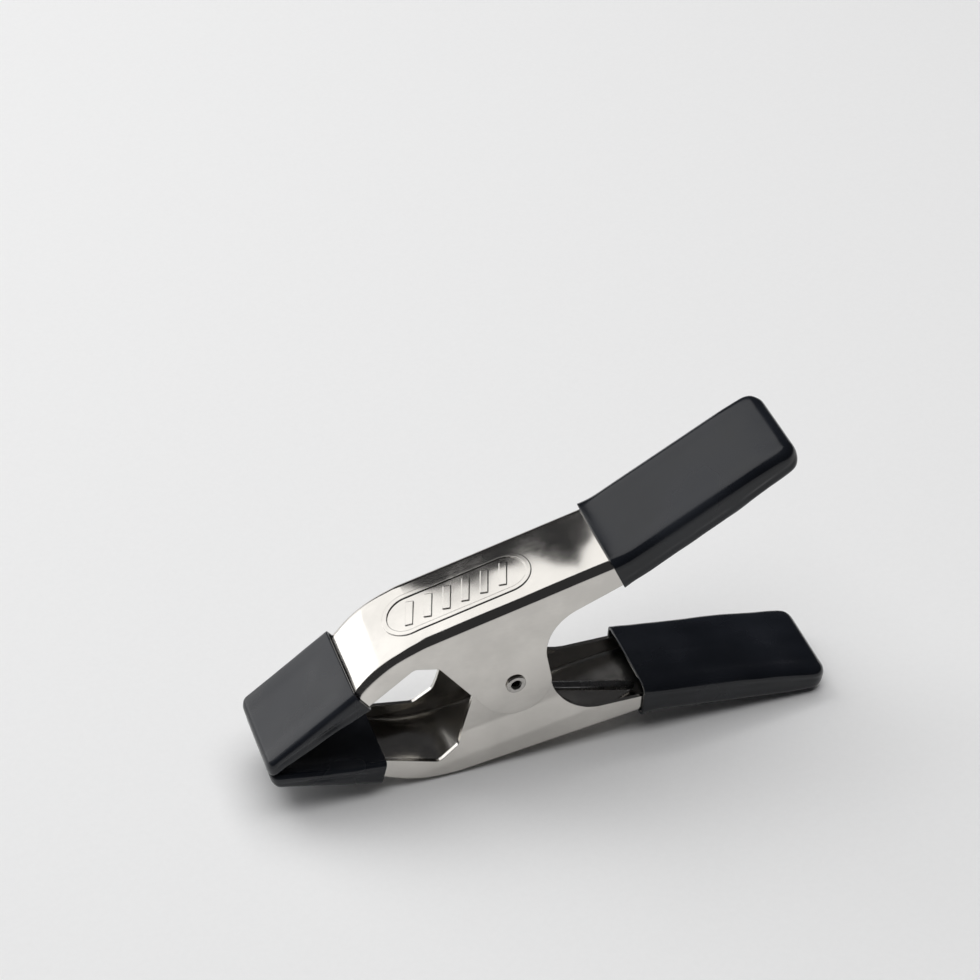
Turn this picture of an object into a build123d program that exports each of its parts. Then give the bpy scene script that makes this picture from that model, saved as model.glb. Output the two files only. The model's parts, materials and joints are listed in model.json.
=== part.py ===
from build123d import *
from math import asin, atan2, cos, degrees, hypot, radians, sin, sqrt, tan
import os

# Spring clamp: two stamped steel levers, each a channel with a web and two
# side flanges, cross at a hollow rivet. A torsion spring pushes the handles
# apart and so shuts the jaws. Vinyl caps cover both jaws and both handles.
#
# The levers are drawn in the clamp's own axes: x from the rivet towards the
# handles, z from the rivet towards the upper lever. The lower lever is the
# same outline with z reversed. The finished clamp stands on its lower lever,
# so these axes are turned by rest_angle about the rivet (Y).
# Origin: centre of the rivet. +Y along the rivet, +Z up. Millimetres.

# ---- driving dimensions -------------------------------------------------
steel = 1.2               # sheet thickness
lever_width = 27.0        # over the flanges
ear_gap = 0.35            # free play between the ears of the two levers
bend_r = 2.5              # outside radius of the bend from web to flange
waist_z = 12.6            # the lower lever's ears are pressed in above this height
waist_run = 8.5           # height over which they lean in
waist_bend_r = 6.0
vinyl = 1.3               # wall of the caps

jaw_x, jaw_z = -71.0, 4.1         # steel jaw end, outer corner
jaw_angle = 26.0                  # slope of the jaw's web
jaw_length = 30.9                 # steel jaw, from its end to the neck
neck_r = 3.0
shoulder_angle = 39.0             # slope where the shoulder starts
shoulder_x = -32.2                # corner of the shoulder before rounding
shoulder_r = 40.0
foot_start_r, foot_end_r = 32.0, 14.0   # rounding either side of the flat on the shoulder
web_angle = 3.2                   # slope of the web over the rivet
handle_bend_x = 37.5              # corner of the bend into the handle
handle_bend_r = 22.0
handle_angle = 18.8               # slope of the handle's web
handle_x = 88.3                   # steel handle end, outer corner
handle_corner_r = 3.0
handle_edge_gap = 0.2             # from the flanges' free edge to the inside of the grip

ear_r = 11.3                      # ear round the rivet
ear_right = 10.4                  # ear's edge on the handle side
ear_bottom = -11.6
throat_angle = -64.7              # slope of the throat's long edge
throat_x, throat_z = -19.8, 16.2  # top of that edge
lip_x, lip_z = -26.4, 19.4        # top of the throat
throat_bend_r = 3.0
lip_bend_r = 2.5
mouth_x, mouth_z = -42.2, 11.7    # flange edge at the pad's mouth
jaw_edge_x = -70.6                # end of the flange edge under the pad
upper_notch_r = 13.8              # hollow of the flange edge between ear and grip
lower_notch_r = 15.0
lower_notch_lift = 2.2            # the lower flanges are this much lower at the grip
notch_slope = 11.4                # slope of the flange edge there
mouth_bend_r = 20.0
pad_bend_r = 6.0
ear_corner_r = 9.5

pad_tip_x = -73.0                 # outside end of the jaw pad
pad_tip_gap = 0.12                # half the gap left between the shut pads
pad_length = 32.0                 # along the jaw
pad_mouth_depth = 8.0
pad_inner_angle = 19.5
pad_edge_r = 1.8
grip_mouth_x = 33.4               # outside edge of the grip's mouth
grip_mouth_angle = 13.0           # the mouth is square to this slope
grip_mouth_depth = 11.6
grip_bulge_x = 68.0               # the open side swells a little here
grip_bulge = 0.9
grip_bulge_r = 120.0
grip_end_depth = 8.6
grip_corner_r = 4.0               # of the end's corner on the open side
grip_end_wall = 1.8
grip_edge_r = 2.2

rivet_r = 2.5                     # barrel
rivet_bore_r = 1.5
rivet_rim_r = 2.9
rivet_rim = 0.8                   # height of the rolled rim over the ear
rivet_play = 0.06                 # running clearance in the lower lever

wire_d = 2.8                      # spring
coil_r = 8.5                      # mean radius
coil_pitch = 3.0
coil_turns = 3                    # whole turns, besides the part between legs
leg_end_x = 35.0
leg_gap = 0.3                     # from a leg to the web it pushes on
leg_steps = 10                    # points of the wire's centre line
steps_per_turn = 12

emboss = 0.3                      # height of the raised pattern on the web
frame_x = -8.0                    # centre of its rounded frame
frame_length, frame_width = 44.0, 15.0
line_w = 1.4                      # width of the frame's line
bar_count = 6                     # slanting bars inside the frame
bar_pitch = 5.6
bar_w, bar_length = 2.2, 8.5
bar_slant = -20
emboss_root = 0.3                 # how far the pattern is rooted in the web

deep_z = -30.0                    # below everything in a lever's side view
overrun = 8.0                     # how far a cutting shape runs past what it cuts
long_way = 60.0                   # half of a length longer than any part of the section
ear_width = lever_width - 2 * steel - 2 * ear_gap
os.makedirs("parts", exist_ok=True)


# ---- plane geometry helpers ---------------------------------------------
def along(point, angle, x):
    """The point at x on the line through a point at an angle."""
    return (x, point[1] + (x - point[0]) * tan(radians(angle)))


def step(point, angle, length):
    """The point a length away from a point, in the direction of an angle."""
    return (point[0] + length * cos(radians(angle)), point[1] + length * sin(radians(angle)))


def past(start, end, length):
    """The point a length beyond the end of a line."""
    heading = degrees(atan2(end[1] - start[1], end[0] - start[0]))
    return step(end, heading, length)


def inset(points, distance):
    """An open run of points moved to its right-hand side by a distance."""
    headings = [atan2(b[1] - a[1], b[0] - a[0]) for a, b in zip(points, points[1:])]
    first, last = headings[0], headings[-1]
    moved = [(points[0][0] + distance * sin(first), points[0][1] - distance * cos(first))]
    for corner, before, after in zip(points[1:-1], headings, headings[1:]):
        middle = (before + after) / 2
        reach = distance / cos((after - before) / 2)
        moved.append((corner[0] + reach * sin(middle), corner[1] - reach * cos(middle)))
    moved.append((points[-1][0] + distance * sin(last), points[-1][1] - distance * cos(last)))
    return moved


# ---- corners of the web line, from the jaw end to the handle end -----------
jaw_end = (jaw_x, jaw_z)
neck = step(jaw_end, jaw_angle, jaw_length)
shoulder = along(neck, shoulder_angle, shoulder_x)
handle_bend = along(shoulder, web_angle, handle_bend_x)
handle_end = along(handle_bend, handle_angle, handle_x)


# ---- caps, as runs of four corners from mouth to mouth, with the inside on the right
pad_end = along(step(jaw_end, jaw_angle + 90, vinyl), jaw_angle, pad_tip_x)
pad_mouth = step(pad_end, jaw_angle, pad_length)
pad_mouth_inner = step(pad_mouth, jaw_angle - 90, pad_mouth_depth)
tip_drop = pad_edge_r * (tan(radians(pad_inner_angle)) + 1 / cos(radians(pad_inner_angle)) - 1)
pad_tip_inner = (pad_tip_x, pad_tip_gap - tip_drop)
pad_outline = [
    along(pad_tip_inner, pad_inner_angle, pad_mouth_inner[0]),
    pad_tip_inner,
    pad_end,
    pad_mouth,
]
grip_top = inset([shoulder, handle_bend, step(handle_end, handle_angle, grip_end_wall)], -vinyl)
grip_end = grip_top[2]
grip_mouth = along(grip_top[0], web_angle, grip_mouth_x)
grip_end_inner = step(grip_end, handle_angle - 90, grip_end_depth)
grip_mouth_inner = step(grip_mouth, grip_mouth_angle - 90, grip_mouth_depth)
open_angle = degrees(atan2(grip_end_inner[1] - grip_mouth_inner[1], grip_end_inner[0] - grip_mouth_inner[0]))
grip_swell = step(along(grip_end_inner, open_angle, grip_bulge_x), open_angle - 90, grip_bulge)
grip_outline = [grip_mouth, grip_top[1], grip_end, grip_end_inner, grip_swell, grip_mouth_inner]
grip_bends = [0, handle_bend_r - vinyl, 0, grip_corner_r, grip_bulge_r, 0]
grip_room_bends = [0, handle_bend_r, 0, grip_corner_r - vinyl, grip_bulge_r - vinyl, 0]
pad_bends = [0, 0, 0, 0]

# The clamp rests on the shoulder of its lower lever and on the outer corner
# of the lower grip's end: rest_angle is the slope of the line that touches both.
turn_half = radians(shoulder_angle - web_angle) / 2
shoulder_normal = radians((shoulder_angle + web_angle) / 2 + 90)
to_centre = shoulder_r / cos(turn_half)
shoulder_centre = (
    shoulder[0] - to_centre * cos(shoulder_normal),
    shoulder[1] - to_centre * sin(shoulder_normal),
)
grip_corner = step(step(grip_end, handle_angle + 180, grip_edge_r), handle_angle - 90, grip_edge_r)
run = grip_corner[0] - shoulder_centre[0]
rise = grip_corner[1] - shoulder_centre[1]
rest_angle = degrees(atan2(rise, run) - asin((shoulder_r - grip_edge_r) / hypot(run, rise)))

# A narrow flat on the shoulder, at that slope, gives the clamp its footing.
foot = step(shoulder_centre, rest_angle + 90, shoulder_r)
foot_start = step(foot, rest_angle, -shoulder_r * tan(radians(shoulder_angle - rest_angle) / 2))
foot_end = step(foot, rest_angle, shoulder_r * tan(radians(rest_angle - web_angle) / 2))
web_points = [jaw_end, neck, foot_start, foot_end, handle_bend, handle_end]


def web_radii(distance=0.0):
    """Rounding of the web line's corners, inset by a distance."""
    return [
        neck_r + distance,
        foot_start_r - distance,
        foot_end_r - distance,
        handle_bend_r + distance,
    ]


rest_x = (cos(radians(rest_angle)), 0, sin(radians(rest_angle)))
side = Plane(origin=(0, 0, 0), x_dir=rest_x, z_dir=(0, -1, 0))   # local y is the clamp's z


def flip(points, sign):
    """Points of the upper lever, or with sign -1 of the lower one."""
    return [(x, sign * z) for x, z in points]


def block(points, radii, width, sign):
    """A closed outline of the side view, extruded evenly across the clamp."""
    with BuildPart() as solid:
        with BuildSketch(side):
            with BuildLine():
                FilletPolyline(*flip(points, sign), radius=radii, close=True)
            make_face()
        extrude(amount=width / 2, both=True)
    return solid.part


def rounded_block(top, radii, width, sign, edge_r):
    """A deep block below an open line, with the two long edges of its top rounded."""
    outline = top + [(top[-1][0], deep_z), (top[0][0], deep_z)]
    with BuildLine(side) as top_line:
        FilletPolyline(*flip(top, sign), radius=radii)
    with BuildPart() as solid:
        with BuildSketch(side):
            with BuildLine():
                FilletPolyline(*flip(outline, sign), radius=[0] + radii + [0, 0, 0], close=True)
            make_face()
        extrude(amount=width / 2, both=True)
        long_edges = ShapeList()
        for edge in solid.edges():
            middle = edge.position_at(0.5)
            on_side = abs(abs(middle.Y) - width / 2) < 0.01
            if on_side and top_line.line.distance_to(Vertex(middle.X, 0, middle.Z)) < 0.01:
                long_edges.append(edge)
        fillet(long_edges, edge_r)
    return solid.part


# ---- levers ---------------------------------------------------------------
def flange_edge(notch_lift, notch_r):
    """The flanges' free edge, from the handle end to the jaw end, and its rounding."""
    handle_depth = grip_end_depth - 2 * vinyl - handle_edge_gap
    swell, mouth_inner = inset(grip_outline[2:], vinyl + handle_edge_gap)[2:]
    mouth_inner = step(mouth_inner, grip_mouth_angle + 90, notch_lift)
    ear_left_x = throat_x + (ear_bottom - throat_z) / tan(radians(throat_angle))
    edge = [
        (step(handle_end, handle_angle - 90, handle_depth), handle_corner_r),
        (swell, grip_bulge_r),
        (mouth_inner, mouth_bend_r),
        (along(mouth_inner, notch_slope, ear_right), notch_r),
        ((ear_right, ear_bottom), ear_corner_r),
        ((ear_left_x, ear_bottom), ear_r),
        ((throat_x, throat_z), throat_bend_r),
        ((lip_x, lip_z), lip_bend_r),
        ((mouth_x, mouth_z), pad_bend_r),
        (along((mouth_x, mouth_z), pad_inner_angle, jaw_edge_x), 0),
    ]
    return [point for point, radius in edge], [radius for point, radius in edge]


def waist(width):
    """A long bar, narrowed from just under the lower lever's ears upwards."""
    wide = width / 2
    narrow = wide - (lever_width - ear_width) / 2
    across = Plane(origin=(0, 0, 0), x_dir=(0, 1, 0), z_dir=side.x_dir)
    half = [(wide, -long_way), (wide, -waist_z - waist_run), (narrow, -waist_z), (narrow, long_way)]
    bends = [0, waist_bend_r, waist_bend_r, 0]
    with BuildPart() as bar:
        with BuildSketch(across):
            with BuildLine():
                FilletPolyline(*half, *[(-y, z) for y, z in half[::-1]], radius=bends * 2, close=True)
            make_face()
        extrude(amount=2 * long_way, both=True)
    return bar.part


def lever(sign, notch_lift, notch_r, narrowed):
    """One stamped lever: a channel with rounded bends, open at both ends."""
    edge_points, edge_radii = flange_edge(notch_lift, notch_r)
    inner_line = inset(web_points, steel)
    inner_line[0] = step(inner_line[0], jaw_angle, -overrun)
    inner_line[-1] = step(inner_line[-1], handle_angle, overrun)
    inner_width = lever_width - 2 * steel
    outside = rounded_block(web_points, web_radii(), lever_width, sign, bend_r)
    hollow = rounded_block(inner_line, web_radii(steel), inner_width, sign, bend_r - steel)
    silhouette = block(web_points + edge_points, [0] + web_radii() + [0] + edge_radii, lever_width, sign)
    with BuildPart() as inside:
        add(hollow)
        if narrowed:
            add(waist(inner_width), mode=Mode.INTERSECT)
    with BuildPart() as piece:
        add(outside)
        if narrowed:
            add(waist(lever_width), mode=Mode.INTERSECT)
        add(inside.part, mode=Mode.SUBTRACT)
        add(silhouette, mode=Mode.INTERSECT)
    return piece.part


def raised_pattern():
    """The raised pattern on the upper web: a long rounded frame round slanting bars."""
    lift = inset(web_points, -emboss)
    root = inset(web_points, emboss_root)
    radii = web_radii(-emboss) + [0, 0] + web_radii(emboss_root)[::-1] + [0]
    skin = block(lift + root[::-1], [0] + radii, lever_width, 1)
    with BuildPart() as pattern:
        with BuildSketch(Plane(origin=(0, 0, 0), x_dir=side.x_dir, z_dir=side.y_dir)):
            with Locations((frame_x, 0)):
                SlotOverall(frame_length, frame_width)
                SlotOverall(frame_length - 2 * line_w, frame_width - 2 * line_w, mode=Mode.SUBTRACT)
            for index in range(bar_count):
                with Locations((frame_x + (index - (bar_count - 1) / 2) * bar_pitch, 0)):
                    Rectangle(bar_w, bar_length, rotation=bar_slant)
        extrude(amount=long_way)
        add(skin, mode=Mode.INTERSECT)
    return pattern.part


upper_blank = lever(1, 0.0, upper_notch_r, narrowed=False)
with BuildPart() as upper_lever:
    add(upper_blank)
    add(raised_pattern())
    with BuildSketch(side):
        Circle(rivet_r)
    extrude(amount=lever_width, both=True, mode=Mode.SUBTRACT)
upper_lever.part.label = "upper_lever"
export_step(upper_lever.part, "parts/upper_lever.step")

lower_blank = lever(-1, lower_notch_lift, lower_notch_r, narrowed=True)
with BuildPart() as lower_lever:
    add(lower_blank)
    with BuildSketch(side):
        Circle(rivet_r + rivet_play)
    extrude(amount=lever_width, both=True, mode=Mode.SUBTRACT)
lower_lever.part.label = "lower_lever"
export_step(lower_lever.part, "parts/lower_lever.step")


# ---- vinyl caps ------------------------------------------------------------
def soft_block(outline, radii, width, sign, edge_r):
    """A block of the side view with every edge rounded, except round its mouth."""
    mouth, mouth_inner = flip([outline[0], outline[-1]], sign)
    mouth_middle = side.from_local_coords(((mouth[0] + mouth_inner[0]) / 2,
                                           (mouth[1] + mouth_inner[1]) / 2, 0))
    with BuildPart() as solid:
        add(block(outline, radii, width, sign))
        mouth_face = solid.faces().sort_by_distance(mouth_middle)[0]
        kept = [edge.position_at(0.5) for edge in mouth_face.edges()]
        rounded = ShapeList()
        for edge in solid.edges():
            if min((edge.position_at(0.5) - point).length for point in kept) > 0.01:
                rounded.append(edge)
        fillet(rounded, edge_r)
    return solid.part


def cap(outline, bends, room_bends, edge_r, sign):
    """A closed-ended sleeve of even wall, open at its mouth."""
    room = inset(outline, vinyl)
    room[0] = past(room[1], room[0], overrun)
    room[-1] = past(room[-2], room[-1], overrun)
    with BuildPart() as sleeve:
        add(soft_block(outline, bends, lever_width + 2 * vinyl, sign, edge_r))
        add(block(room, room_bends, lever_width, sign), mode=Mode.SUBTRACT)
    return sleeve.part


cap_shapes = {
    "jaw_pad": (pad_outline, pad_bends, pad_bends, pad_edge_r),
    "handle_grip": (grip_outline, grip_bends, grip_room_bends, grip_edge_r),
}
for cap_name, cap_shape in cap_shapes.items():
    for lever_name, sign in (("upper", 1), ("lower", -1)):
        with BuildPart() as vinyl_cap:
            add(cap(*cap_shape, sign))
        vinyl_cap.part.label = f"{lever_name}_{cap_name}"
        export_step(vinyl_cap.part, f"parts/{lever_name}_{cap_name}.step")


# ---- hollow rivet, fixed in the upper lever, running in the lower one ------------
rivet_half = lever_width / 2 + rivet_rim
with BuildPart() as pivot_rivet:
    with BuildSketch(Plane.XY) as section:
        with Locations(((rivet_bore_r + rivet_r) / 2, 0)):
            Rectangle(rivet_r - rivet_bore_r, lever_width)
        for end_sign in (-1, 1):
            with Locations(((rivet_bore_r + rivet_rim_r) / 2, end_sign * (rivet_half - rivet_rim / 2))):
                RectangleRounded(rivet_rim_r - rivet_bore_r, rivet_rim, rivet_rim / 2 - 0.02)
    revolve(axis=Axis.Y)
pivot_rivet.part.label = "pivot_rivet"
export_step(pivot_rivet.part, "parts/pivot_rivet.step")


# ---- torsion spring: a coil with a leg along the inside of each handle -------------
leg_gap = 0.3
leg_line = inset([foot_end, handle_bend], steel + leg_gap + wire_d / 2)
leg_end = along(leg_line[0], web_angle, leg_end_x)
leg_length = sqrt(hypot(*leg_end) ** 2 - coil_r ** 2)
leg_angle = degrees(atan2(leg_end[1], leg_end[0]) - asin(coil_r / hypot(*leg_end)))
turns = coil_turns + (180 - 2 * leg_angle) / 360
coil_half = turns * coil_pitch / 2


def spot(x, z, y):
    """A point given in the clamp's own axes."""
    return side.from_local_coords((x, z, -y))


# the wire's centre line, from the lower leg's end round the coil to the upper leg's end
leg_start = step((0, 0), leg_angle + 90, coil_r)
leg_points = []
for index in range(leg_steps):
    leg_points.append(step(leg_start, leg_angle, leg_length * (1 - index / leg_steps)))
wire_points = [spot(x, -z, -coil_half) for x, z in leg_points]
coil_steps = round(turns * steps_per_turn)
for index in range(coil_steps + 1):
    turned = index / coil_steps
    around = step((0, 0), -leg_angle - 90 - turned * 360 * turns, coil_r)
    wire_points.append(spot(*around, (2 * turned - 1) * coil_half))
wire_points += [spot(x, z, coil_half) for x, z in leg_points[::-1]]
with BuildPart() as torsion_spring:
    with BuildLine() as wire:
        Spline(*wire_points)
    with BuildSketch(Plane(origin=wire.line @ 0, z_dir=wire.line % 0)):
        Circle(wire_d / 2)
    sweep(path=wire.line)
torsion_spring.part.label = "torsion_spring"
export_step(torsion_spring.part, "parts/torsion_spring.step")
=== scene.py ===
import json
from math import asin, atan2, cos, degrees, hypot, pi, radians, sin, sqrt, tan

import bmesh
import bpy
from mathutils import Matrix, Vector, noise


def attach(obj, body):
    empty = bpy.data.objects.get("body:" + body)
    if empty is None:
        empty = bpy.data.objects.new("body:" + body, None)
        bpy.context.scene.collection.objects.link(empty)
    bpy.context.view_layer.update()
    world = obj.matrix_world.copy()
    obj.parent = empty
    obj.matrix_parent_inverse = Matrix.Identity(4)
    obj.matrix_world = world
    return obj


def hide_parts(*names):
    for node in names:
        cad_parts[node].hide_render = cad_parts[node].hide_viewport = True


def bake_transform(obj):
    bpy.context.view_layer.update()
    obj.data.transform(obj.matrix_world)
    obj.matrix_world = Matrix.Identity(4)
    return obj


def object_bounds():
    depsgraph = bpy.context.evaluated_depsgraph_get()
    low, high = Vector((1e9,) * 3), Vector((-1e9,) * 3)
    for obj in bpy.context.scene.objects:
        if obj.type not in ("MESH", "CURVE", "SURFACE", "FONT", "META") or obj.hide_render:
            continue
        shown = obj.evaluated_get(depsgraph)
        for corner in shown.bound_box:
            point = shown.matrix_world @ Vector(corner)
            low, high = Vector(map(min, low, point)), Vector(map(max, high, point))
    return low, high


# Spring clamp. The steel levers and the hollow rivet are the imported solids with
# plated-steel materials. The four vinyl caps and the torsion spring are modelled
# here in full and stand for their plain solids.
#
# Outlines are drawn in the clamp's own axes, in millimetres: x from the rivet
# towards the handles, z towards the upper lever. The clamp stands on its lower
# lever, so those axes are turned by rest_angle about the rivet (Y).

MM = 0.001

# ---- driving dimensions, mm and degrees ----------------------------------------
STEEL = 1.2
LEVER_WIDTH = 27.0
VINYL = 1.3               # wall of the solids' caps, and of the skin over a cap's end here
VINYL_WALL = 1.12         # wall of the caps here, which leaves a hair of air round the steel
JAW_END = (-71.0, 4.1)
JAW_ANGLE, JAW_LENGTH = 26.0, 30.9
SHOULDER_ANGLE, SHOULDER_X = 39.0, -32.2
WEB_ANGLE = 3.2
BEND_X, BEND_R = 37.5, 22.0
HANDLE_ANGLE, HANDLE_X = 18.8, 88.3

PAD_TIP_X, PAD_TIP_GAP = -73.0, 0.12
PAD_LENGTH, PAD_MOUTH_DEPTH, PAD_INNER_ANGLE = 32.0, 8.0, 19.5
PAD_EDGE_R = 1.8
GRIP_MOUTH_X, GRIP_MOUTH_ANGLE, GRIP_MOUTH_DEPTH = 33.4, 13.0, 11.6
GRIP_END_WALL, GRIP_END_DEPTH = 1.8, 8.6
GRIP_BULGE_X, GRIP_BULGE, GRIP_BULGE_R = 68.0, 0.9, 120

WIRE_D, COIL_R, COIL_PITCH, COIL_TURNS = 2.8, 8.5, 3.0, 3
LEG_END_X, LEG_GAP = 35.0, 0.3

# ---- finish of the steel -----------------------------------------------------------
NICKEL, RIVET_NICKEL = (0.70, 0.675, 0.635), (0.50, 0.485, 0.46)
CUT_EDGE_R = 0.28         # rounding of sharp edges, as a normal, mm
WEB_CROWN = 1.8           # the web falls by this times the square of the distance from its middle, m
DISH_X, WEB_DISH = 19.0, 2.6      # past this X, mm, it rises by this times the square of the distance, m

# ---- finish of the vinyl, mm unless stated ------------------------------------------
SLOW_WAVE, FINE_WAVE = 0.013, 0.0045      # sizes of the unevenness in the skin, metres
WANDER_RUN = 6.5          # size of the wandering of the open side's edges, along the cap
WANDER_HEIGHT = 2.6       # height above the open side at which it has died out
FOLD_HEIGHT, FOLD_REACH = 3.4, 1.3        # the fold's height above the open side, and half its width
FLAT_FROM, FLAT_TO = 7.5, 11.5            # where the faces stop sagging, from their middle line
FACE_SHARE = 0.9          # share of a ring's half height beyond which a point is on a face
ROUNDEST = 0.95           # the most of a ring's half height that its corners take up
OPEN_EDGE = 0.8           # radius of the open side's long edges, as a share of the outside's
END_RUN = 14.0            # length over which the outside face falls away
SAG_RUN = 8.0             # length from the end over which the sag grows
EDGE_FALL, MIDDLE_FALL = 0.12, 0.10       # of the outside face, at its edges and along its middle
LIP = 0.35                # rounding of the lip at the mouth

# ---- mesh density --------------------------------------------------------------------
RING_CORNER, RING_FACE, RING_SIDE = 8, 26, 12     # steps round a corner, along a face, up a side
CAP_STATIONS, END_STATIONS = 44, 12
LEG_STEPS, STEPS_PER_TURN, WIRE_SIDES = 30, 48, 20

LOWER, UPPER = "lower_lever_body", "upper_lever_body"

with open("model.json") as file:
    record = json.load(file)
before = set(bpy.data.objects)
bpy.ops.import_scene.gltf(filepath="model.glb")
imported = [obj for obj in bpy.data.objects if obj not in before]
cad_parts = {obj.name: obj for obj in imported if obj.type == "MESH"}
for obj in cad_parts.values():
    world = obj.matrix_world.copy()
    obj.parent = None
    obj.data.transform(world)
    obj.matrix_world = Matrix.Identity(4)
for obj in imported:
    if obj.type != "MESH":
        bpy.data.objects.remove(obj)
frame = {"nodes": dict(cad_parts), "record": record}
cad_low, cad_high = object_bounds()
nodes = frame["nodes"]
mounts = {mount["name"]: mount for mount in frame["record"]["mounts"]}
grip_face = mounts["upper_grip_face"]["axis"]
rest_angle = degrees(atan2(-grip_face[0], grip_face[2])) - HANDLE_ANGLE


# ---- side-view geometry -----------------------------------------------------------
def along(point, angle, x):
    """The point at x on the line through a point at an angle."""
    return (x, point[1] + (x - point[0]) * tan(radians(angle)))


def step(point, angle, length):
    """The point a length away from a point, in the direction of an angle."""
    return (point[0] + length * cos(radians(angle)), point[1] + length * sin(radians(angle)))


def mix(a, b, t):
    """The point a share t of the way from a to b."""
    return (a[0] + (b[0] - a[0]) * t, a[1] + (b[1] - a[1]) * t)


def place(x, z, y=0.0):
    """A point in the clamp's own axes, mm, as a place in the scene."""
    turn = radians(rest_angle)
    return Vector((x * cos(turn) - z * sin(turn), y, x * sin(turn) + z * cos(turn))) * MM


def rounded(a, corner, b, radius, steps=10):
    """The line a - corner - b with its corner rounded."""
    first = degrees(atan2(corner[1] - a[1], corner[0] - a[0]))
    last = degrees(atan2(b[1] - corner[1], b[0] - corner[0]))
    reach = radius * tan(radians(abs(last - first)) / 2)
    side = 90 if last > first else -90
    centre = step(step(corner, first, -reach), first + side, radius)
    arc = []
    for i in range(steps + 1):
        arc.append(step(centre, first + (last - first) * i / steps - side, radius))
    return [a] + arc + [b]


def walk(points, share):
    """The point a share of the way along a run of points."""
    lengths = [hypot(b[0] - a[0], b[1] - a[1]) for a, b in zip(points, points[1:])]
    left = share * sum(lengths)
    for a, b, length in zip(points, points[1:], lengths):
        if left <= length:
            return mix(a, b, left / length)
        left -= length
    return points[-1]


def smooth(value, low, high):
    """0 below low, 1 above high, and an even S between them."""
    t = min(max((value - low) / (high - low), 0.0), 1.0)
    return t * t * (3 - 2 * t)


neck = step(JAW_END, JAW_ANGLE, JAW_LENGTH)
shoulder = along(neck, SHOULDER_ANGLE, SHOULDER_X)
bend = along(shoulder, WEB_ANGLE, BEND_X)
handle_end = along(bend, HANDLE_ANGLE, HANDLE_X)

pad_end = along(step(JAW_END, JAW_ANGLE + 90, VINYL), JAW_ANGLE, PAD_TIP_X)
pad_mouth = step(pad_end, JAW_ANGLE, PAD_LENGTH)
tip_drop = PAD_EDGE_R * (tan(radians(PAD_INNER_ANGLE)) + 1 / cos(radians(PAD_INNER_ANGLE)) - 1)
pad_tip = (PAD_TIP_X, PAD_TIP_GAP - tip_drop)
pad_mouth_inner = along(pad_tip, PAD_INNER_ANGLE,
                        step(pad_mouth, JAW_ANGLE - 90, PAD_MOUTH_DEPTH)[0])

outer_bend_turn = radians(HANDLE_ANGLE - WEB_ANGLE) / 2
outer_bend = (bend[0] - VINYL * sin(radians(WEB_ANGLE) + outer_bend_turn) / cos(outer_bend_turn),
              bend[1] + VINYL * cos(radians(WEB_ANGLE) + outer_bend_turn) / cos(outer_bend_turn))
grip_mouth = along(outer_bend, WEB_ANGLE, GRIP_MOUTH_X)
grip_end = step(step(handle_end, HANDLE_ANGLE, GRIP_END_WALL), HANDLE_ANGLE + 90, VINYL)
grip_end_inner = step(grip_end, HANDLE_ANGLE - 90, GRIP_END_DEPTH)
grip_mouth_inner = step(grip_mouth, GRIP_MOUTH_ANGLE - 90, GRIP_MOUTH_DEPTH)
open_angle = degrees(atan2(grip_end_inner[1] - grip_mouth_inner[1],
                           grip_end_inner[0] - grip_mouth_inner[0]))
grip_swell = step(along(grip_end_inner, open_angle, GRIP_BULGE_X), open_angle - 90, GRIP_BULGE)


# ---- mesh helpers ------------------------------------------------------------------
def skin(bm, rings):
    """Quads between rings of vertices, and a fan over the first and the last ring."""
    for one, two in zip(rings, rings[1:]):
        for i in range(len(one)):
            j = (i + 1) % len(one)
            bm.faces.new((one[i], one[j], two[j], two[i]))
    for ring in (rings[0], rings[-1]):
        hub = bm.verts.new(sum((v.co for v in ring), Vector()) / len(ring))
        for i in range(len(ring)):
            bm.faces.new((ring[i], ring[(i + 1) % len(ring)], hub))


def new_piece(name, bm, material, body=None):
    """A smooth-shaded object from a bmesh, riding on a body."""
    bmesh.ops.recalc_face_normals(bm, faces=bm.faces)
    mesh = bpy.data.meshes.new(name)
    bm.to_mesh(mesh)
    bm.free()
    mesh.polygons.foreach_set("use_smooth", [True] * len(mesh.polygons))
    obj = bpy.data.objects.new(name, mesh)
    bpy.context.scene.collection.objects.link(obj)
    mesh.materials.append(material)
    if body:
        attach(obj, body)
    return obj


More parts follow.
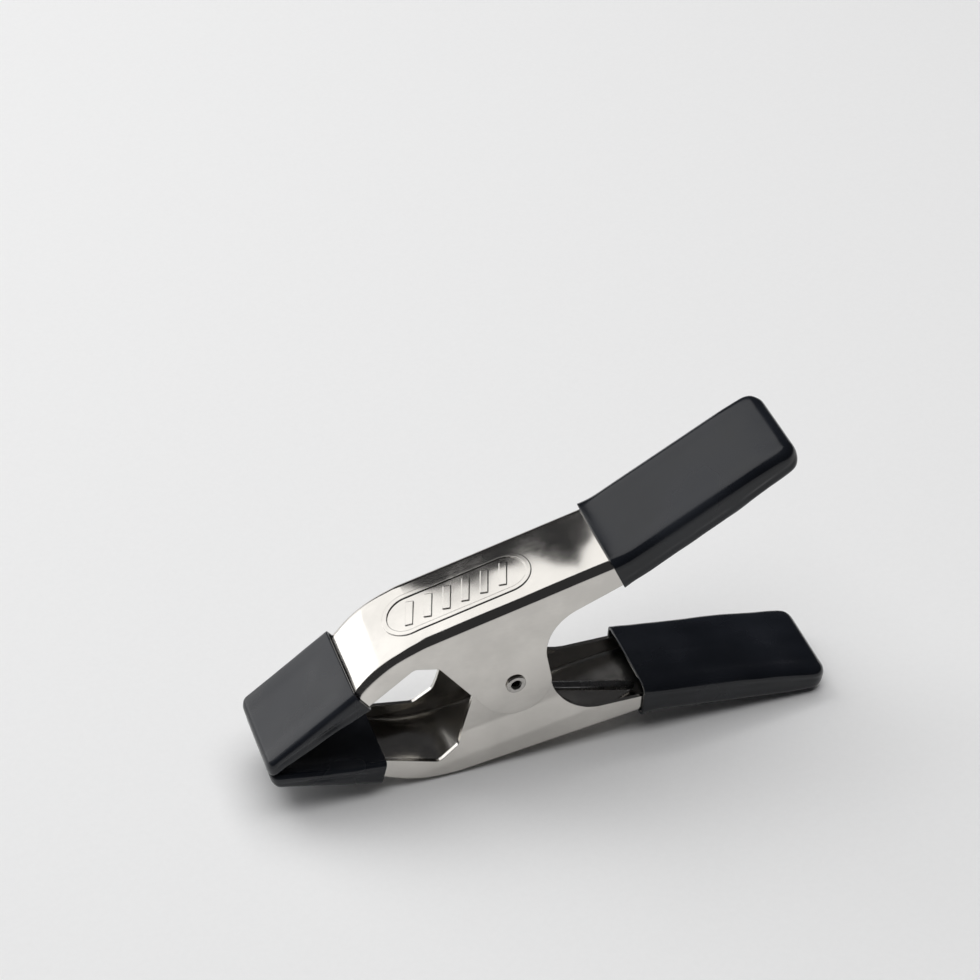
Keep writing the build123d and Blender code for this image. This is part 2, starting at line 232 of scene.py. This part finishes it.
# ---- materials ------------------------------------------------------------------------
class Shader:
    """A node material with a Principled BSDF and short ways to add nodes."""

    def __init__(self, name):
        self.material = bpy.data.materials.new(name)
        self.material.use_nodes = True
        self.tree = self.material.node_tree
        self.main = self.tree.nodes["Principled BSDF"]
        self.place = self.add("ShaderNodeTexCoord").outputs["Object"]

    def add(self, kind, **settings):
        """A new node with its settings."""
        node = self.tree.nodes.new(kind)
        for key, value in settings.items():
            setattr(node, key, value)
        return node

    def link(self, source, target):
        """A wire from an output to an input."""
        self.tree.links.new(source, target)

    def noise(self, scale, detail=3.0, rough=0.5, stretch=(1, 1, 1)):
        """Noise with a feature size of about 1/scale metres."""
        mapping = self.add("ShaderNodeMapping")
        mapping.inputs["Scale"].default_value = stretch
        self.link(self.place, mapping.inputs["Vector"])
        node = self.add("ShaderNodeTexNoise")
        node.inputs["Scale"].default_value = scale
        node.inputs["Detail"].default_value = detail
        node.inputs["Roughness"].default_value = rough
        self.link(mapping.outputs["Vector"], node.inputs["Vector"])
        return node.outputs["Fac"]

    def ranged(self, value, low, high, to_low, to_high):
        """A value between low and high, spread smoothly over another range."""
        node = self.add("ShaderNodeMapRange", interpolation_type="SMOOTHSTEP")
        self.link(value, node.inputs["Value"])
        for key, number in (("From Min", low), ("From Max", high),
                            ("To Min", to_low), ("To Max", to_high)):
            node.inputs[key].default_value = number
        return node.outputs["Result"]

    def maths(self, operation, a, b=0.0):
        """An operation on two values, each a number or a node's output."""
        node = self.add("ShaderNodeMath", operation=operation)
        for socket, value in zip(node.inputs, (a, b)):
            if isinstance(value, (int, float)):
                socket.default_value = value
            else:
                self.link(value, socket)
        return node.outputs[0]

    def colours(self, factor, low, high):
        """A mix of two colours."""
        node = self.add("ShaderNodeMix", data_type="RGBA")
        self.link(factor, node.inputs["Factor"])
        node.inputs["A"].default_value = (*low, 1)
        node.inputs["B"].default_value = (*high, 1)
        return node.outputs["Result"]

    def soft_edges(self, radius):
        """A normal that rounds sharp edges over a radius."""
        node = self.add("ShaderNodeBevel")
        node.samples = 6
        node.inputs["Radius"].default_value = radius
        return node.outputs["Normal"]

    def bump(self, height, strength, distance, normal=None):
        """A normal tilted by a height, on top of another normal."""
        node = self.add("ShaderNodeBump")
        node.inputs["Strength"].default_value = strength
        node.inputs["Distance"].default_value = distance
        self.link(height, node.inputs["Height"])
        if normal:
            self.link(normal, node.inputs["Normal"])
        return node.outputs["Normal"]


def plated_steel(name, tint, rough_low, rough_high, bowed=False):
    """Nickel-plated sheet: clouded, very slightly wavy, and bowed by the press where asked."""
    s = Shader(name)
    grain_share, darkest = 0.12, 0.86
    cloud = s.noise(scale=45, detail=4.0, rough=0.6)
    grain = s.noise(scale=400, detail=4.0, rough=0.6, stretch=(1.0, 3.0, 3.0))
    mixed = s.maths("ADD", s.maths("MULTIPLY", cloud, 1 - grain_share),
                    s.maths("MULTIPLY", grain, grain_share))
    dark = tuple(darkest * value for value in tint)
    s.link(s.colours(s.ranged(mixed, 0.35, 0.65, 0, 1), dark, tint), s.main.inputs["Base Color"])
    s.main.inputs["Metallic"].default_value = 1.0
    s.link(s.ranged(mixed, 0.35, 0.65, rough_low, rough_high), s.main.inputs["Roughness"])
    waves = s.noise(scale=48, detail=0.5)
    normal = s.bump(waves, 1.0, 0.6 * MM, s.soft_edges(CUT_EDGE_R * MM))
    if bowed:
        # heights in metres: crowned across its width, dished towards the handle bend
        split = s.add("ShaderNodeSeparateXYZ")
        s.link(s.place, split.inputs["Vector"])
        from_middle = s.maths("ABSOLUTE", split.outputs["Y"])
        crown = s.maths("MULTIPLY", s.maths("POWER", from_middle, 2.0), -WEB_CROWN)
        past = s.maths("MAXIMUM", s.maths("SUBTRACT", split.outputs["X"], DISH_X * MM), 0.0)
        dish = s.maths("MULTIPLY", s.maths("POWER", past, 2.0), WEB_DISH)
        normal = s.bump(s.maths("ADD", crown, dish), 1.0, 1.0, normal)
    s.link(normal, s.main.inputs["Normal"])
    return s.material


def vinyl():
    """Dipped black vinyl: satin, with slow unevenness, smudges and a very fine tooth."""
    s = Shader("black_vinyl")
    dark, light = (0.006, 0.0072, 0.010), (0.014, 0.016, 0.021)
    smudge = s.noise(scale=38, detail=3.0, rough=0.5)
    tooth = s.noise(scale=2600, detail=2.0)
    s.link(s.colours(s.ranged(smudge, 0.3, 0.7, 0, 1), dark, light), s.main.inputs["Base Color"])
    s.link(s.ranged(smudge, 0.32, 0.68, 0.17, 0.33), s.main.inputs["Roughness"])
    s.main.inputs["IOR"].default_value = 1.42
    slow = s.bump(s.noise(scale=50, detail=1.5), 0.6, 0.3 * MM)
    s.link(s.bump(tooth, 0.12, 0.02 * MM, slow), s.main.inputs["Normal"])
    return s.material


def spring_wire():
    """Dark drawn wire, slightly mottled."""
    s = Shader("spring_wire")
    mottle = s.noise(scale=400, detail=2.0, rough=0.5)
    dark, light = (0.14, 0.14, 0.145), (0.26, 0.257, 0.252)
    s.link(s.colours(mottle, dark, light), s.main.inputs["Base Color"])
    s.main.inputs["Metallic"].default_value = 0.9
    s.link(s.ranged(mottle, 0.3, 0.7, 0.18, 0.32), s.main.inputs["Roughness"])
    return s.material


def pale_floor():
    """A pale sheet of studio paper."""
    s = Shader("studio_paper")
    fibre = s.noise(scale=700)
    s.link(s.colours(fibre, (0.86, 0.86, 0.86), (0.89, 0.89, 0.89)), s.main.inputs["Base Color"])
    s.main.inputs["Roughness"].default_value = 0.75
    s.main.inputs["Specular IOR Level"].default_value = 0.2
    return s.material


upper_steel = plated_steel("nickel_plate_upper", NICKEL, 0.07, 0.15, bowed=True)
lower_steel = plated_steel("nickel_plate_lower", NICKEL, 0.12, 0.22)
rivet_steel = plated_steel("rivet_plate", RIVET_NICKEL, 0.22, 0.34)
black_vinyl = vinyl()

for node_name, material in (("upper_lever", upper_steel), ("lower_lever", lower_steel),
                            ("pivot_rivet", rivet_steel)):
    mesh = nodes[node_name].data
    for index in range(len(mesh.materials)):
        mesh.materials[index] = material


# ---- vinyl caps ----------------------------------------------------------------------
class Cap:
    """A dipped cap: its side view, and how its corners and faces are softened, mm."""

    def __init__(self, top, bottom, edge_r, plan_r, end_top_r, end_bottom_r, end_fall, sag,
                 waves, ripple, crease):
        self.top = top                    # outside line, mouth to end
        self.bottom = bottom              # open side's line, mouth to end
        self.edge_r = edge_r              # long edges, outside face
        self.plan_r = plan_r              # corners of the end seen from above
        self.end_top_r = end_top_r        # outside face into the end, seen from the side
        self.end_bottom_r = end_bottom_r  # open face into the end
        self.end_fall = end_fall          # how far the outside face falls away towards the end
        self.sag = sag                    # how far the skin sinks between the flanges
        self.waves = waves                # depth of the hand-dipped unevenness
        self.ripple = ripple              # how far the open side's edges wander
        self.crease = crease              # depth of the fold above those edges
        self.length = sum(hypot(b[0] - a[0], b[1] - a[1]) for a, b in zip(top, top[1:]))


def ring_points(half_w, half_h, top_r, bottom_r):
    """A rounded rectangle, anticlockwise, as (across, up) pairs."""
    top_w, top_h = half_w - top_r, half_h - top_r
    bottom_w, bottom_h = half_w - bottom_r, half_h - bottom_r
    corners = (((top_w, top_h), 0, top_r), ((-top_w, top_h), 90, top_r),
               ((-bottom_w, -bottom_h), 180, bottom_r), ((bottom_w, -bottom_h), 270, bottom_r))
    points = []
    for index, (centre, start, radius) in enumerate(corners):
        for i in range(RING_CORNER + 1):
            points.append(step(centre, start + 90 * i / RING_CORNER, radius))
        last, goal = points[-1], step(*corners[(index + 1) % 4])
        count = RING_FACE if index in (0, 2) else RING_SIDE
        points += [mix(last, goal, i / count) for i in range(1, count)]
    return points


def corner_inset(distance, radius):
    """How far a rounded corner has come in at a distance from its end."""
    if distance >= radius:
        return 0.0
    return radius - sqrt(max(radius * radius - (radius - distance) ** 2, 0.0))


def outside_relief(cap, point, across, above_open, half_w, distance, seed):
    """How deep the skin dips at a point of the outside, and how far its open edge rises, mm."""
    slow = 0.5 + 0.5 * noise.noise(point / SLOW_WAVE + Vector((seed, 0, 0)))
    fine = 0.5 + 0.5 * noise.noise(point / FINE_WAVE + Vector((0, seed, 0)))
    dip = cap.waves * (0.85 * slow + 0.15 * fine)
    side_seed = seed + (40.0 if across > 0 else 0.0)
    wander = 0.5 + 0.9 * noise.noise(Vector((distance / WANDER_RUN, side_seed, 0.3)))
    settle = smooth(distance, 0.5, 5.0) * smooth(cap.length - distance, 0.0, 4.0)
    wander = min(max(wander, 0.0), 1.0) * settle
    fold = wander * cap.crease * smooth(abs(across), half_w - 0.6, half_w)
    fold *= 1 - smooth(abs(above_open - FOLD_HEIGHT), 0.0, FOLD_REACH)
    rise = wander * cap.ripple * (1 - smooth(above_open, 0.0, WANDER_HEIGHT))
    return dip + fold, rise


def cap_ring(bm, cap, share, sign, inset, seed):
    """One ring of the cap at a share of its length, moved in by a distance."""
    distance = (1 - share) * cap.length
    top = walk(cap.top, share)
    bottom = walk(cap.bottom, share)
    up = Vector((top[0] - bottom[0], top[1] - bottom[1]))
    height = up.length
    up.normalize()
    fall = cap.end_fall * (1 - min(distance / END_RUN, 1)) ** 2
    high = height / 2 - fall - corner_inset(distance, cap.end_top_r) - inset
    low = -height / 2 + corner_inset(distance, cap.end_bottom_r) + inset
    half_h = (high - low) / 2
    middle = Vector(mix(top, bottom, 0.5)) + up * (high + low) / 2
    half_w = LEVER_WIDTH / 2 + VINYL - corner_inset(distance, cap.plan_r) - inset
    top_r = min(max(cap.edge_r - inset, 0.5), ROUNDEST * half_h)
    bottom_r = min(max(cap.edge_r * OPEN_EDGE - inset, 0.4), ROUNDEST * half_h)
    one_up = place(up[0], sign * up[1])       # a millimetre towards the outside face
    ring = []
    for across, rise in ring_points(half_w, half_h, top_r, bottom_r):
        spot = middle + up * rise
        point = place(spot[0], sign * spot[1], across)
        if inset == 0:
            facing = Vector((0, across / half_w, 0)) + (one_up / MM) * (rise / half_h)
            dip, lift = outside_relief(cap, point, across, rise + half_h, half_w, distance, seed)
            point = point - facing.normalized() * dip * MM + one_up * lift
        flat = 1 - smooth(abs(across), FLAT_FROM, FLAT_TO)
        if rise < -half_h * FACE_SHARE:
            sunk = cap.sag * flat * smooth(share, 0.0, 0.4) * smooth(distance, 0.0, SAG_RUN)
            point = point + one_up * sunk
        elif rise > half_h * FACE_SHARE:
            edge = EDGE_FALL * (across / half_w) ** 2
            point = point - one_up * (edge + MIDDLE_FALL * flat * smooth(share, 0.0, 0.3))
        ring.append(bm.verts.new(point))
    return ring


def shares(cap):
    """Stations from the end almost to the mouth, closer together at the rounded end."""
    close = max(cap.plan_r, cap.end_bottom_r) * 1.2 / cap.length
    near_end = [1 - close * (1 - cos(pi / 2 * i / END_STATIONS)) for i in range(END_STATIONS)]
    return near_end + [(1 - close) * (1 - i / CAP_STATIONS) for i in range(CAP_STATIONS)]


def build_cap(name, cap, sign, body, seed):
    """The whole cap as one closed skin: outside, lip and inside."""
    bm = bmesh.new()
    lip = LIP / cap.length
    inner_end = 1 - VINYL / cap.length
    stations = [(share, 0) for share in shares(cap)]
    stations += [(lip, 0), (lip * 0.3, 0.1), (0, LIP), (0, VINYL_WALL - 0.2), (lip * 0.5, VINYL_WALL)]
    for i in range(1, END_STATIONS + 1):
        stations.append((lip + (inner_end - lip) * i / END_STATIONS, VINYL_WALL))
    skin(bm, [cap_ring(bm, cap, share, sign, inset, seed) for share, inset in stations])
    piece = new_piece(name, bm, black_vinyl, body)
    return piece


pad = Cap(top=[pad_mouth, pad_end], bottom=[pad_mouth_inner, pad_tip], edge_r=2.0, plan_r=2.4,
          end_top_r=1.6, end_bottom_r=1.2, end_fall=0.0, sag=0.8, waves=0.26, ripple=0.8, crease=0.55)
grip_top_line = rounded(grip_mouth, outer_bend, grip_end, BEND_R - VINYL)
grip_bottom_line = rounded(grip_mouth_inner, grip_swell, grip_end_inner, GRIP_BULGE_R)
grip = Cap(top=grip_top_line, bottom=grip_bottom_line, edge_r=2.8, plan_r=4.8,
           end_top_r=2.6, end_bottom_r=3.4, end_fall=1.0, sag=0.6, waves=0.22, ripple=0.4, crease=0.3)

for kind, cap, kind_seed in (("jaw_pad", pad, 0.0), ("handle_grip", grip, 3.7)):
    for side_name, sign, body in (("upper", 1, UPPER), ("lower", -1, LOWER)):
        node_name = f"{side_name}_{kind}"
        piece = build_cap(f"{node_name}_vinyl", cap, sign, body, kind_seed + 11.3 * sign)
        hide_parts(node_name)


# ---- torsion spring ---------------------------------------------------------------------
inward = STEEL + LEG_GAP + WIRE_D / 2
leg_line = step(bend, WEB_ANGLE - 90, inward)
leg_tip = along(leg_line, WEB_ANGLE, LEG_END_X)
reach = hypot(*leg_tip)
leg_length = sqrt(reach ** 2 - COIL_R ** 2)
leg_angle = degrees(atan2(leg_tip[1], leg_tip[0]) - asin(COIL_R / reach))
turns = COIL_TURNS + (180 - 2 * leg_angle) / 360
coil_half = turns * COIL_PITCH / 2
leg_start = step((0, 0), leg_angle + 90, COIL_R)

wire = []
for i in range(LEG_STEPS):
    x, z = step(leg_start, leg_angle, leg_length * (1 - i / LEG_STEPS))
    wire.append(place(x, -z, -coil_half))
coil_steps = round(turns * STEPS_PER_TURN)
for i in range(coil_steps + 1):
    turned = i / coil_steps
    x, z = step((0, 0), -leg_angle - 90 - turned * 360 * turns, COIL_R)
    wire.append(place(x, z, (2 * turned - 1) * coil_half))
for i in range(1, LEG_STEPS + 1):
    x, z = step(leg_start, leg_angle, leg_length * i / LEG_STEPS)
    wire.append(place(x, z, coil_half))

bm = bmesh.new()
rings = []
end_share = 0.65          # the wire's radius at its two ends, as a share of the rest
for i, centre in enumerate(wire):
    before, after = wire[max(i - 1, 0)], wire[min(i + 1, len(wire) - 1)]
    tangent = (after - before).normalized()
    across = (Vector((0, 1, 0)) - tangent * tangent.y).normalized()
    up = tangent.cross(across)
    radius = WIRE_D / 2 * MM
    if i in (0, len(wire) - 1):
        radius *= end_share
    ring = []
    for k in range(WIRE_SIDES):
        angle = 2 * pi * k / WIRE_SIDES
        ring.append(bm.verts.new(centre + (across * cos(angle) + up * sin(angle)) * radius))
    rings.append(ring)
skin(bm, rings)
spring = new_piece("torsion_spring_wire", bm, spring_wire())
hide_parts("torsion_spring")
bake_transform(spring)


# ---- floor, light and camera ----------------------------------------------------------------
floor_mesh = bpy.data.meshes.new("studio_floor")
half = 3.0                # half the floor's side, metres
corners = [(x * half, y * half, cad_low.z) for x, y in ((-1, -1), (1, -1), (1, 1), (-1, 1))]
floor_mesh.from_pydata(corners, [], [(0, 1, 2, 3)])
floor = bpy.data.objects.new("studio_floor", floor_mesh)
bpy.context.scene.collection.objects.link(floor)
floor_mesh.materials.append(pale_floor())


def softbox(name, azimuth, elevation, distance, width, height, radiance, in_reflections=True):
    """A rectangular lamp facing the clamp, in metres. Azimuth 0 is towards +Y, 90 towards +X."""
    data = bpy.data.lights.new(name, "AREA")
    data.shape = "RECTANGLE"
    data.size, data.size_y = width, height
    data.energy = radiance * pi * width * height
    lamp = bpy.data.objects.new(name, data)
    bpy.context.scene.collection.objects.link(lamp)
    az, el = radians(azimuth), radians(elevation)
    spot = Vector((sin(az) * cos(el), cos(az) * cos(el), sin(el)))
    lamp.location = spot * distance
    lamp.rotation_euler = spot.to_track_quat("Z", "Y").to_euler()
    lamp.visible_glossy = in_reflections


softbox("back_softbox", azimuth=-38, elevation=31, distance=1.8,
        width=1.50, height=2.15, radiance=1.42)
softbox("low_softbox", azimuth=-46, elevation=11, distance=1.6,
        width=0.60, height=0.66, radiance=0.75)
softbox("overhead_fill", azimuth=-10, elevation=84, distance=2.0,
        width=2.4, height=2.4, radiance=2.3, in_reflections=False)

world = bpy.data.worlds.new("studio")
world.use_nodes = True
tree = world.node_tree
sight = tree.nodes.new("ShaderNodeLightPath")
sky = tree.nodes.new("ShaderNodeMix")
sky.data_type = "RGBA"
sky.inputs["A"].default_value = (0.040, 0.040, 0.042, 1)      # the dim room, as light
sky.inputs["B"].default_value = (0.72, 0.72, 0.72, 1)         # a pale backdrop, as seen
tree.links.new(sight.outputs["Is Camera Ray"], sky.inputs["Factor"])
tree.links.new(sky.outputs["Result"], tree.nodes["Background"].inputs["Color"])
bpy.context.scene.world = world
bpy.context.scene.view_settings.view_transform = "Standard"

CAMERA_AT = (-0.1923, -0.5162, 0.5114)
CAMERA_AZIMUTH, CAMERA_ELEVATION, CAMERA_ROLL = 20.04, 39.38, 1.27
CAMERA_LENS, CAMERA_SENSOR = 97.4, 36.0
camera_data = bpy.data.cameras.new("camera")
camera_data.lens = CAMERA_LENS
camera_data.sensor_width = CAMERA_SENSOR
camera = bpy.data.objects.new("camera", camera_data)
bpy.context.scene.collection.objects.link(camera)
aim = (Matrix.Rotation(radians(-CAMERA_AZIMUTH), 4, "Z")
       @ Matrix.Rotation(radians(90 - CAMERA_ELEVATION), 4, "X")
       @ Matrix.Rotation(radians(CAMERA_ROLL), 4, "Z"))
camera.matrix_world = Matrix.Translation(CAMERA_AT) @ aim
bpy.context.scene.camera = camera
